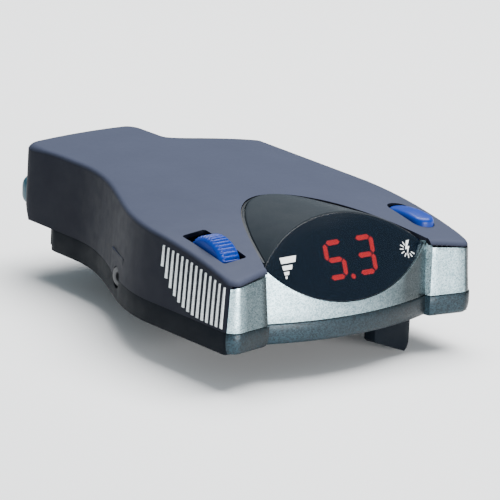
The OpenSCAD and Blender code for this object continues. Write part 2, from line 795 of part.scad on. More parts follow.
module bushing(s) {
  outer = s < 0 ? left_x(mount_y) + 1.2 : half_width - 0.4;
  difference() {
    cross(s < 0 ? outer : outer - mount_length - 2.4, mount_y, seam_height, mount_length + 2.4, 3.6);
    cross(s < 0 ? outer - 1 : outer - mount_length, mount_y, seam_height, mount_length + 1, mount_radius);
  }
}

module mount_bushing_left() {
  color("dimgray") place() bushing(-1);
}

module mount_bushing_right() {
  color("dimgray") place() bushing(1);
}

module rear_inlet() {
  color("teal") place() difference() {
    union() {
      box([neck_middle - inlet_width / 2 + 3, body_depth - 14, inlet_bottom], [neck_middle + inlet_width / 2 - 3, body_depth + inlet_reach, inlet_bottom + inlet_height]);
      for (s = [-1, 1]) intersection() {
        translate([neck_middle + s * (inlet_width / 2 - 5), body_depth + inlet_reach, inlet_bottom + inlet_height / 2]) rotate([90, 0, 0]) cylinder(r = inlet_height / 2, h = inlet_reach + 14);
        box([neck_middle - inlet_width / 2, 0, inlet_bottom], [neck_middle + inlet_width / 2, 200, inlet_bottom + inlet_height]);
      }
    }
    box([neck_middle - inlet_width / 2 + 4, body_depth + inlet_reach - socket_depth, inlet_bottom + 1.8], [neck_middle + inlet_width / 2 - 4, body_depth + inlet_reach + 1, inlet_bottom + inlet_height - 1.8]);
    for (i = [0:blade_count - 1]) blade(i, 0);
  }
}

module blade(i, extra) {
  x = neck_middle + (i - (blade_count - 1) / 2) * 6.4;
  box([x - 1.4 - extra, body_depth - 18, inlet_bottom + inlet_height / 2 - 0.4 - extra], [x + 1.4 + extra, body_depth + inlet_reach - 6, inlet_bottom + inlet_height / 2 + 0.4 + extra]);
}

module inlet_blades() {
  color("gold") place() for (i = [0:blade_count - 1]) blade(i, 0);
}

module case_screws() {
  color("gray") place() for (p = screw_spots) difference() {
    union() {
      upright(p[0], p[1], 0.5, 2.5, 2.7);
      upright(p[0], p[1], 0.5, 19, 1.3);
    }
    for (a = [0, 90]) translate([p[0], p[1], 0]) rotate([0, 0, a]) translate([-1.6, -0.3, 0]) cube([3.2, 0.6, 1.5]);
  }
}

module board_screws() {
  color("gray") place() for (p = board_spots) difference() {
    union() {
      upright(p[0], p[1], board_top, board_top + 1.6, 2.5);
      upright(p[0], p[1], wall + 0.4, board_top + 0.5, 1.15);
    }
    for (a = [0, 90]) translate([p[0], p[1], 0]) rotate([0, 0, a]) translate([-1.5, -0.3, board_top + 0.8]) cube([3, 0.6, 2]);
  }
}

upper_cover();
front_bezel();
lower_case();
lower_front_trim();
display_hood();
hood_gasket();
display_lens();
lens_marks();
led_display();
led_segments();
display_board();
display_cable();
main_board();
control_chip();
capacitors();
inertia_sensor();
heat_sink();
power_transistors();
transistor_screws();
power_wheel();
wheel_shaft();
wheel_sensor();
boost_button();
boost_dome();
boost_switch();
boost_board();
manual_lever();
lever_clip();
lever_spring();
lever_magnet();
hall_sensor();
grip_ribs_left();
grip_ribs_right();
mount_bushing_left();
mount_bushing_right();
rear_inlet();
inlet_blades();
case_screws();
board_screws();
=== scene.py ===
import math

import bmesh
import bpy
from mathutils import Matrix, Vector


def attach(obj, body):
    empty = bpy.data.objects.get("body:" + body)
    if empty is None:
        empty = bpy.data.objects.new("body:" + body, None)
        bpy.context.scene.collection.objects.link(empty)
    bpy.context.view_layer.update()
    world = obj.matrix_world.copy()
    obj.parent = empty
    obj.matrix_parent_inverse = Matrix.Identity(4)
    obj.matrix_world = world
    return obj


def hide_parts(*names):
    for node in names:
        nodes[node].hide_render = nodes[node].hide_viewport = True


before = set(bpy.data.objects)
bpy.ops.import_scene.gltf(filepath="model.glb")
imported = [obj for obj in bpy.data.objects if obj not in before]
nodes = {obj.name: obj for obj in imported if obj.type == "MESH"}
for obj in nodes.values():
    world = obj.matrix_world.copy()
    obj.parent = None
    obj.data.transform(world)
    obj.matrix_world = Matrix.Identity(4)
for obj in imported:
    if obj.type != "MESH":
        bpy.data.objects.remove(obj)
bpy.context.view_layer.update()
MM = 0.001

# Sizes in millimetres, as the case is drawn: front at 0, depth along +Y, base underside at 0.
MIDDLE_Y = 76.85
LIFT = 12.0
WIDTH = 104.0
HALF = WIDTH / 2
DEPTH = 151.0
SEAM = 7.5
TOP = 35.3
CROWN = 420.0
FRONT_ROLL = 239.0
ROLL_START = 62.0
CORNER = 4.5
REAR_CORNER = 6.0
FACE_HALF = 34.1
FACE_BULGE = 6.1
FACE_END = 4.2
FACE_RADIUS = (FACE_HALF**2 + FACE_BULGE**2) / (2 * FACE_BULGE)
PILLAR = FACE_HALF + 0.6
PILLAR_SET = 2.2
WRAP = 2.6
ROOF_CUT = 5.6
WALL_LEAN = 0.06
LENS_HALF = 34.0
LENS_RISE = 15.3
LENS_LEAN = math.radians(33)
LENS_Y = 6.8
LENS_Z = 25.3
LENS_ARC = (LENS_HALF**2 + LENS_RISE**2) / (2 * LENS_RISE)
HOOD_LENGTH = 47.5
HOOD_CREST = LENS_Z + LENS_RISE * math.cos(LENS_LEAN) + 0.5
HOOD_FRONT_Y = LENS_Y + LENS_RISE * math.sin(LENS_LEAN)
HOOD_RADIUS = 48.3
HOOD_SLOPE = math.radians(4.5)
LEFT_STEP = 22.5
SWEEP_START = 45
SWEEP_LENGTH = 73
RIGHT_STEP = 33
SHOULDER_START = 118
SHOULDER_LENGTH = 14
NECK_LEFT = -HALF + LEFT_STEP
NECK_RIGHT = HALF - RIGHT_STEP
NECK_MIDDLE = (NECK_LEFT + NECK_RIGHT) / 2
INLET_WIDTH = 42
INLET_HEIGHT = 11.5
INLET_CORNER = 4.5
INLET_Z = SEAM + 2.3 + INLET_HEIGHT / 2
BORE_Y = 73
ROOF_ROLL_DROP = 1.95
WHEEL_RADIUS = 11
WHEEL_RISE = 3.8
WHEEL_HALF_WIDTH = 4.3
WHEEL_RIBS = 44
BOOST_RISE = 1.8
BOOST_WIDTH = 8
BOOST_LENGTH = 20
GRIP_COUNT = 14
GRIP_PITCH = 2.6
GRIP_START = 5.2


def at(x, y, z):
    """A point of the case drawing in the frame, in metres."""
    return Vector((x * MM, (y - MIDDLE_Y) * MM, (z + LIFT) * MM))


def crown(x):
    return CROWN - math.sqrt(CROWN**2 - x * x)


def dome_z(x, y):
    return TOP - FRONT_ROLL + math.sqrt((FRONT_ROLL - crown(x)) ** 2 - min(y - ROLL_START, 0) ** 2)


def ease(t):
    return (1 - math.cos(math.pi * min(max(t, 0), 1))) / 2


def left_x(y):
    return -HALF + LEFT_STEP * ease((y - SWEEP_START) / SWEEP_LENGTH)


def right_x(y):
    return HALF - RIGHT_STEP * ease((y - SHOULDER_START) / SHOULDER_LENGTH)


def face_y(x):
    return FACE_END - FACE_BULGE + FACE_RADIUS - math.sqrt(FACE_RADIUS**2 - x * x)


WHEEL = (-40.9, 24.5, dome_z(-40.9, 24.5) + WHEEL_RISE - WHEEL_RADIUS)
BOOST = (41.8, 23.0, dome_z(41.8, 23.0) + BOOST_RISE)

# ---------------------------------------------------------------- outlines


def span(a, b, count):
    return [a + (b - a) * i / count for i in range(count + 1)]


def arc(x, y, r, start, end, count):
    return [(x + r * math.cos(math.radians(t)), y + r * math.sin(math.radians(t))) for t in span(start, end, count)]


def tidy(points, gap=0.02):
    kept = []
    for p in points:
        if not kept or math.dist(p, kept[-1]) > gap:
            kept.append(p)
    return kept


def right_corner():
    turn = math.degrees(math.asin(WRAP / CORNER - 1))
    return arc(HALF - CORNER, CORNER, CORNER, -90, turn, 6) + arc(HALF - CORNER, CORNER, CORNER, turn, 0, 4)


def mirrored(points):
    return [(-x, y) for x, y in reversed(points)]


def pillar_front():
    """The right pillar's front in plan, set back at its inner edge."""
    run = HALF - CORNER - PILLAR
    return [(x, PILLAR_SET * (1 - (x - PILLAR) / run)) for x in span(PILLAR, HALF - CORNER, 4)]


def case_track():
    """The case in plan from the right pillar round the back to the left pillar."""
    front = pillar_front() + right_corner()
    right = [(HALF, y) for y in span(CORNER, SHOULDER_START, 28)]
    shoulder = [(right_x(y), y) for y in span(SHOULDER_START, SHOULDER_START + SHOULDER_LENGTH, 14)]
    rear = arc(NECK_RIGHT - REAR_CORNER, DEPTH - REAR_CORNER, REAR_CORNER, 0, 90, 8)
    rear += [(x, DEPTH) for x in span(NECK_RIGHT - REAR_CORNER, NECK_LEFT + REAR_CORNER, 9)]
    rear += arc(NECK_LEFT + REAR_CORNER, DEPTH - REAR_CORNER, REAR_CORNER, 90, 180, 8)
    sweep = [(left_x(y), y) for y in span(138, CORNER, 46)]
    return tidy(front + right + shoulder + rear + sweep + mirrored(front))


def front_track():
    """The silver front in plan, from the left side round to the right side."""
    turn = math.degrees(math.asin(WRAP / CORNER - 1))
    half = [(x, face_y(x)) for x in span(0, FACE_HALF, 16)] + pillar_front()
    half += arc(HALF - CORNER, CORNER, CORNER, -90, turn, 6)
    return tidy(mirrored(half) + half)


def outward(track, closed=False):
    """For each point of a counter-clockwise track, the step that moves its sides out by 1."""
    steps = []
    count = len(track)
    for i in range(count):
        around = []
        for a, b in (((i - 1), i), (i, i + 1)):
            if closed or (a >= 0 and b < count):
                a, b = track[a % count], track[b % count]
                size = math.dist(a, b)
                around.append(Vector(((b[1] - a[1]) / size, (a[0] - b[0]) / size)))
        total = sum(around, Vector((0, 0)))
        steps.append(total * (2 / total.length_squared) if len(around) == 2 else total)
    return steps


def moved(track, reach, closed=False):
    """The track moved out by reach, a number or one number for each point."""
    reaches = reach if isinstance(reach, list) else [reach] * len(track)
    return [(p[0] + n.x * r, p[1] + n.y * r) for p, n, r in zip(track, outward(track, closed), reaches)]


def hood_track(extra, count=30, tip=1.0):
    """The hood's rear edge in plan, from the right tip over the back to the left tip."""
    return [
        ((LENS_HALF + extra) * w, LENS_Y - 2 + (HOOD_LENGTH + extra) * (1 - w * w))
        for w in span(tip, -tip, count)
    ]


def slot_track(x, y, width, length, radius, count=6):
    """A rounded slot, long way along Y, counter-clockwise."""
    dx, dy = width / 2 - radius, length / 2 - radius
    corners = ((dx, -dy, -90), (dx, dy, 0), (-dx, dy, 90), (-dx, -dy, 180))
    return tidy([p for cx, cy, turn in corners for p in arc(x + cx, y + cy, radius, turn, turn + 90, count)])


# ---------------------------------------------------------------- modelling helpers


def loop(mesh, points, height, closed=True):
    """Edges through points of the drawing, at one height or at height(x, y)."""
    level = height if callable(height) else lambda x, y: height
    verts = [mesh.verts.new(at(p[0], p[1], level(*p))) for p in points]
    pairs = list(zip(verts, verts[1:])) + ([(verts[-1], verts[0])] if closed else [])
    return [mesh.edges.new(pair) for pair in pairs]


def plate(mesh, outline, holes=(), grid=0.0):
    """A flat plate with holes, cut into a grid so that it can be domed."""
    rings = [loop(mesh, ring, 0) for ring in (outline, *holes)]
    bmesh.ops.triangle_fill(mesh, edges=[e for ring in rings for e in ring], normal=(0, 0, 1), use_beauty=True)
    if grid:
        for axis in (0, 1):
            values = [p[axis] for p in outline]
            level = math.floor(min(values) / grid) * grid + grid / 2
            while level < max(values):
                point = at(*[level if i == axis else 0 for i in range(2)], 0)
                bmesh.ops.bisect_plane(
                    mesh, geom=mesh.verts[:] + mesh.edges[:] + mesh.faces[:], dist=1e-7,
                    plane_co=point, plane_no=[1.0 if i == axis else 0.0 for i in range(3)],
                )
                level += grid
    if mesh.faces and sum(f.normal.z for f in mesh.faces) < 0:
        bmesh.ops.reverse_faces(mesh, faces=mesh.faces[:])


def key(point):
    return tuple(round(c, 7) for c in point)


def drawn(point):
    """Back from the frame to the drawing."""
    return (point.x / MM, point.y / MM + MIDDLE_Y, point.z / MM - LIFT)


def skirt(mesh, edges, rows):
    """Draws a chain of edges out row by row. A row turns each starting point into its new place."""
    start = {v: drawn(v.co) for e in edges for v in e.verts}
    for row in rows:
        made = bmesh.ops.extrude_edge_only(mesh, edges=edges)["geom"]
        fresh = [g for g in made if isinstance(g, bmesh.types.BMVert)]
        before = {key(v.co): start[v] for v in start}
        start = {v: before[key(v.co)] for v in fresh}
        for v in fresh:
            v.co = at(*row(*start[v]))
        edges = [g for g in made if isinstance(g, bmesh.types.BMEdge)]
        edges = [e for e in edges if all(v in start for v in e.verts)]
    return edges


def link(name, mesh):
    """A new object at the origin holding this bmesh."""
    data = bpy.data.meshes.new(name)
    mesh.to_mesh(data)
    mesh.free()
    obj = bpy.data.objects.new(name, data)
    bpy.context.scene.collection.objects.link(obj)
    return obj


def modify(obj, kind, **settings):
    mod = obj.modifiers.new(kind.lower(), kind)
    for word, value in settings.items():
        setattr(mod, word, value)
    return mod


def cut_away(obj, cutter, operation="DIFFERENCE"):
    """Cuts obj with a bmesh, or joins the two."""
    tool = link("cutter", cutter)
    modify(obj, "BOOLEAN", operation=operation, object=tool, solver="EXACT")
    settle(obj)
    bpy.data.objects.remove(tool)


def settle(obj):
    """Applies the modifiers."""
    depsgraph = bpy.context.evaluated_depsgraph_get()
    data = bpy.data.meshes.new_from_object(obj.evaluated_get(depsgraph))
    obj.modifiers.clear()
    obj.data = data


def soften(obj, width, segments=2, angle=35):
    modify(
        obj, "BEVEL", width=width * MM, segments=segments, limit_method="ANGLE",
        angle_limit=math.radians(angle), use_clamp_overlap=True,
    )
    settle(obj)


def shade(obj, angle=30):
    """Smooth shading that breaks at edges sharper than angle."""
    mesh = bmesh.new()
    mesh.from_mesh(obj.data)
    bmesh.ops.remove_doubles(mesh, verts=mesh.verts[:], dist=1e-7)
    bmesh.ops.dissolve_degenerate(mesh, edges=mesh.edges[:], dist=1e-7)
    for face in mesh.faces:
        face.smooth = True
    limit = math.radians(angle)
    for edge in mesh.edges:
        edge.smooth = len(edge.link_faces) == 2 and edge.calc_face_angle(0) < limit
    mesh.to_mesh(obj.data)
    mesh.free()


def piece(obj, finish, body="chassis", replaced=(), angle=30):
    """Shades, paints and mounts a finished piece."""
    shade(obj, angle)
    obj.data.materials.clear()
    obj.data.materials.append(finish)
    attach(obj, body)
    if replaced:
        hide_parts(*replaced)
    return obj


def node_copy(name, cad_name, merge=2e-6, flat=1.0):
    """A copy of a CAD node with its triangles merged into clean faces."""
    mesh = bmesh.new()
    mesh.from_mesh(nodes[cad_name].data)
    bmesh.ops.remove_doubles(mesh, verts=mesh.verts[:], dist=merge)
    bmesh.ops.dissolve_limit(mesh, angle_limit=math.radians(flat), verts=mesh.verts[:], edges=mesh.edges[:])
    return link(name, mesh)


def block(low, high, mesh=None):
    """A box between two corners of the drawing."""
    mesh = mesh or bmesh.new()
    a, b = at(*low), at(*high)
    size, middle = b - a, (a + b) / 2
    bmesh.ops.create_cube(mesh, size=1, matrix=Matrix.Translation(middle) @ Matrix.Diagonal((*size, 1)))
    return mesh


def rod(place, radius, length, axis="Z", segments=48, mesh=None, tip=None):
    """A cylinder centred on a point of the drawing."""
    mesh = mesh or bmesh.new()
    turns = {"X": Matrix.Rotation(math.pi / 2, 4, "Y"), "Y": Matrix.Rotation(math.pi / 2, 4, "X")}
    turn = turns.get(axis, Matrix.Identity(4))
    bmesh.ops.create_cone(
        mesh, cap_ends=True, segments=segments, radius1=radius * MM, radius2=(tip or radius) * MM,
        depth=length * MM, matrix=Matrix.Translation(at(*place)) @ turn,
    )
    return mesh


LENS_TURN = Matrix.Translation(at(0, LENS_Y, LENS_Z)) @ Matrix.Rotation(math.pi / 2 - LENS_LEAN, 4, "X")


def oval_track(extra, count=40):
    """The lens's pointed oval in its own plane, counter-clockwise, in millimetres."""
    radius = LENS_ARC + extra
    tip = math.sqrt(radius**2 - (LENS_ARC - LENS_RISE) ** 2)
    half = math.degrees(math.asin(tip / radius))
    turns = [math.radians(t) for t in span(half, -half, count)]
    upper = [(radius * math.sin(t), radius * math.cos(t) - LENS_ARC + LENS_RISE) for t in turns]
    return tidy(upper + [(-x, -y) for x, y in upper])


def oval_block(extra, low, high):
    """A pointed oval prism across the lens's plane."""
    mesh = bmesh.new()
    verts = [mesh.verts.new(LENS_TURN @ Vector((x * MM, y * MM, low * MM))) for x, y in oval_track(extra)]
    face = mesh.faces.new(verts)
    made = bmesh.ops.extrude_face_region(mesh, geom=[face])["geom"]
    step = LENS_TURN.to_3x3() @ Vector((0, 0, (high - low) * MM))
    bmesh.ops.translate(mesh, vec=step, verts=[g for g in made if isinstance(g, bmesh.types.BMVert)])
    bmesh.ops.recalc_face_normals(mesh, faces=mesh.faces[:])
    return mesh


# ---------------------------------------------------------------- materials


def material(name, color, roughness=0.5, metallic=0.0, coat=0.0, specular=0.5):
    mat = bpy.data.materials.new(name)
    mat.use_nodes = True
    shader = mat.node_tree.nodes["Principled BSDF"]
    shader.inputs["Base Color"].default_value = (*color, 1)
    shader.inputs["Roughness"].default_value = roughness
    shader.inputs["Metallic"].default_value = metallic
    shader.inputs["Coat Weight"].default_value = coat
    shader.inputs["Specular IOR Level"].default_value = specular
    return mat


def add(mat, kind, **values):
    node = mat.node_tree.nodes.new(kind)
    for key, value in values.items():
        if key in node.inputs:
            node.inputs[key].default_value = value
        else:
            setattr(node, key, value)
    return node


def join(mat, a, b):
    mat.node_tree.links.new(a, b)


def shader_of(mat):
    return mat.node_tree.nodes["Principled BSDF"]


def noise(mat, scale, detail=2.0, rough=0.5):
    place = add(mat, "ShaderNodeTexCoord")
    tex = add(mat, "ShaderNodeTexNoise", Scale=scale, Detail=detail, Roughness=rough)
    join(mat, place.outputs["Object"], tex.inputs["Vector"])
    return tex.outputs["Fac"]


def spread(mat, source, low, high, out_low, out_high):
    ramp = add(mat, "ShaderNodeMapRange")
    for socket, value in zip(("From Min", "From Max", "To Min", "To Max"), (low, high, out_low, out_high)):
        ramp.inputs[socket].default_value = value
    join(mat, source, ramp.inputs["Value"])
    return ramp.outputs["Result"]


def tint(mat, source, dark, light, low=0.3, high=0.7):
    ramp = add(mat, "ShaderNodeValToRGB")
    ramp.color_ramp.elements[0].position = low
    ramp.color_ramp.elements[0].color = (*dark, 1)
    ramp.color_ramp.elements[1].position = high
    ramp.color_ramp.elements[1].color = (*light, 1)
    join(mat, source, ramp.inputs["Fac"])
    join(mat, ramp.outputs["Color"], shader_of(mat).inputs["Base Color"])


def bump(mat, source, strength, depth):
    node = add(mat, "ShaderNodeBump", Strength=strength, Distance=depth)
    join(mat, source, node.inputs["Height"])
    join(mat, node.outputs["Normal"], shader_of(mat).inputs["Normal"])


def multiply_base(mat, level):
    """Multiplies the base colour by a level."""
    shader = shader_of(mat)
    before = shader.inputs["Base Color"].links[0].from_socket
    mix = add(mat, "ShaderNodeMix", data_type="RGBA", blend_type="MULTIPLY")
    mix.inputs["Factor"].default_value = 1.0
    join(mat, before, mix.inputs[6])
    join(mat, level, mix.inputs[7])
    join(mat, mix.outputs[2], shader.inputs["Base Color"])


def facing(mat, axis):
    geometry = add(mat, "ShaderNodeNewGeometry")
    split = add(mat, "ShaderNodeSeparateXYZ")
    join(mat, geometry.outputs["Normal"], split.inputs["Vector"])
    return split.outputs[axis]


GRAIN_DEPTH = 0.00004


def paint_upright_shade(mat, share):
    """Painted shade: multiplies the base colour by share where a face stands upright."""
    multiply_base(mat, spread(mat, facing(mat, "Z"), 0.15, 0.85, share, 1.0))


def moulded(
    name, color, roughness=0.5, grain=3800, strength=0.35, change=0.06, coat=0.0, specular=0.5, side=1.0
):
    """Moulded plastic: fine spark grain, slight colour drift and uneven sheen. side paints shade on the upright faces
    by darkening their base colour.
    """
    mat = material(name, color, roughness, coat=coat, specular=specular)
    drift = noise(mat, 45, 3)
    tint(mat, drift, [c * (1 - change) for c in color], [min(1, c * (1 + change)) for c in color])
    # painted shade: the base colour of upright faces is multiplied down to side
    if side < 1:
        paint_upright_shade(mat, side)
    fine = noise(mat, grain, 2)
    bump(mat, fine, strength, GRAIN_DEPTH)
    sheen = spread(mat, noise(mat, 220, 3), 0.3, 0.7, roughness - 0.04, roughness + 0.05)
    join(mat, sheen, shader_of(mat).inputs["Roughness"])
    return mat


def paint_light_across(mat, left, right):
    """Painted light and shade: multiplies the base colour by left where a face turns to the left and by right where it
    turns to the right.
    """
    multiply_base(mat, spread(mat, facing(mat, "X"), -0.32, 0.24, left, right))


def flake(name, dark, light, roughness, metallic, grain=2600, sides=None):
    """Metallic paint with a fine sparkle; sides, when given, paints light and shade by which way a face turns."""
    mat = material(name, light, roughness, metallic, coat=0.08, specular=0.3)
    place = add(mat, "ShaderNodeTexCoord")
    cells = add(mat, "ShaderNodeTexVoronoi", Scale=grain)
    join(mat, place.outputs["Object"], cells.inputs["Vector"])
    split = add(mat, "ShaderNodeSeparateColor")
    join(mat, cells.outputs["Color"], split.inputs["Color"])
    tint(mat, split.outputs["Red"], dark, light, 0.05, 0.85)
    sheen = spread(mat, split.outputs["Green"], 0, 1, roughness - 0.12, roughness + 0.14)
    join(mat, sheen, shader_of(mat).inputs["Roughness"])
    bump(mat, split.outputs["Blue"], 0.16, 0.00003)
    shader_of(mat).inputs["Coat Roughness"].default_value = 0.25
    # painted light and shade: faces turned left get a lighter base colour, faces turned right a darker one
    if sides:
        paint_light_across(mat, *sides)
    return mat


# side paints shade on the cover's upright walls by darkening their base colour
cover_paint = moulded("slate_cover", (0.0445, 0.0515, 0.081), 0.55, change=0.035, side=0.235, specular=0.06)
# sides paints light on faces turned left and shade on faces turned right
silver_paint = flake("silver_flake", (0.098, 0.152, 0.172), (0.220, 0.292, 0.315), 0.34, 0.85, sides=(2.75, 0.14))
grip_paint = flake("silver_grip", (0.50, 0.55, 0.57), (0.72, 0.76, 0.77), 0.40, 0.3)
# sides paints light on faces turned left and shade on faces turned right
band_paint = flake("dark_flake", (0.003, 0.008, 0.012), (0.013, 0.033, 0.046), 0.46, 0.30, sides=(1.2, 0.35))
case_black = moulded("black_case", (0.0022, 0.0042, 0.0075), 0.6, specular=0.07)
hood_paint = moulded("hood_dark", (0.0085, 0.0135, 0.019), 0.42, change=0.03, strength=0.2, specular=0.25)
gasket_black = moulded("gasket_rubber", (0.006, 0.006, 0.007), 0.6)
blue_plastic = moulded("blue_gloss", (0.002, 0.028, 0.25), 0.34, grain=900, strength=0.06, coat=0.04, specular=0.25)
mark_white = moulded("printed_white", (0.82, 0.83, 0.82), 0.5)
display_black = moulded("display_black", (0.006, 0.006, 0.008), 0.4)
board_green = moulded("solder_mask", (0.01, 0.09, 0.035), 0.3, coat=0.4)
cable_white = moulded("flat_cable", (0.62, 0.63, 0.6), 0.45)
chip_black = moulded("chip_package", (0.015, 0.015, 0.017), 0.5)
sensor_grey = moulded("sensor_grey", (0.04, 0.043, 0.048), 0.5)
silicone = moulded("dome_silicone", (0.30, 0.31, 0.32), 0.5)
teal_plastic = moulded("teal_inlet", (0.0, 0.050, 0.078), 0.45, specular=0.25)
can_sleeve = moulded("capacitor_sleeve", (0.012, 0.02, 0.07), 0.25, coat=0.4)


def brushed(name, color, roughness, metallic=1.0):
    mat = material(name, color, roughness, metallic)
    place = add(mat, "ShaderNodeTexCoord")
    stretch = add(mat, "ShaderNodeMapping")
    stretch.inputs["Scale"].default_value = (60, 2400, 2400)
    lines = add(mat, "ShaderNodeTexNoise", Scale=1.0, Detail=3.0)
    join(mat, place.outputs["Object"], stretch.inputs["Vector"])
    join(mat, stretch.outputs["Vector"], lines.inputs["Vector"])
    tint(mat, lines.outputs["Fac"], [c * 0.85 for c in color], color)
    sheen = spread(mat, lines.outputs["Fac"], 0.3, 0.7, roughness - 0.06, roughness + 0.08)
    join(mat, sheen, shader_of(mat).inputs["Roughness"])
    bump(mat, lines.outputs["Fac"], 0.12, 0.00002)
    return mat


steel = brushed("screw_steel", (0.45, 0.45, 0.47), 0.35)
aluminium = brushed("sink_aluminium", (0.62, 0.63, 0.65), 0.38)
tinned_brass = brushed("blade_brass", (0.68, 0.53, 0.27), 0.32)

lit_red = material("lit_segments", (0.9, 0.03, 0.02), 0.4)
glow = spread(lit_red, noise(lit_red, 500, 1), 0.3, 0.7, 58.0, 66.0)
shader_of(lit_red).inputs["Emission Color"].default_value = (1.0, 0.022, 0.016, 1)
join(lit_red, glow, shader_of(lit_red).inputs["Emission Strength"])

lens_smoke = material("smoked_lens", (0.002, 0.005, 0.010), 0.2, specular=0.35)
shader_of(lens_smoke).inputs["Alpha"].default_value = 0.9
lens_sheen = spread(lens_smoke, noise(lens_smoke, 60, 1), 0.3, 0.7, 0.19, 0.22)
join(lens_smoke, lens_sheen, shader_of(lens_smoke).inputs["Roughness"])

FINISH = {
    "upper_cover": cover_paint, "front_bezel": silver_paint, "lower_case": case_black, "lower_front_trim": band_paint,
    "display_hood": hood_paint, "hood_gasket": gasket_black, "display_lens": lens_smoke, "lens_marks": mark_white,
    "led_display": display_black, "led_segments": lit_red, "display_board": board_green, "display_cable": cable_white,
    "main_board": board_green, "control_chip": chip_black, "capacitors": can_sleeve, "inertia_sensor": sensor_grey,
    "heat_sink": aluminium, "power_transistors": chip_black, "transistor_screws": steel, "power_wheel": blue_plastic,
    "wheel_shaft": steel, "wheel_sensor": sensor_grey, "boost_button": blue_plastic, "boost_dome": silicone,
    "boost_switch": sensor_grey, "boost_board": board_green, "manual_lever": case_black, "lever_clip": steel,
    "lever_spring": steel, "lever_magnet": steel, "hall_sensor": chip_black, "grip_ribs_left": grip_paint,
    "grip_ribs_right": grip_paint, "mount_bushing_left": sensor_grey, "mount_bushing_right": sensor_grey,
    "rear_inlet": teal_plastic, "inlet_blades": tinned_brass, "case_screws": steel, "board_screws": steel,
}
for name, obj in nodes.items():
    obj.data.materials.clear()
    obj.data.materials.append(FINISH[name])


# ---------------------------------------------------------------- upper cover


def lean(z, x=-HALF, y=0.0):
    """How far the wall leans in at a height: on the left side and the front, but hardly on the right and the back."""
    share = 1.0 if x < 0 else 0.35 + 0.65 * ease((6 - y) / 6)
    return WALL_LEAN * (z - SEAM) * share * (1 - ease((y - 128) / 20))


def roll_of(y):
    """Radius of the rounding where the roof turns down: tighter along the sides than at the front and back."""
    return 1.6 + 1.4 * ease((7 - y) / 5) + 1.6 * ease((y - 138) / 10)


def detour(a, b, spot):
    """How much longer the way from a to b becomes over a spot."""
    return math.dist(a, spot) + math.dist(b, spot) - math.dist(a, b)


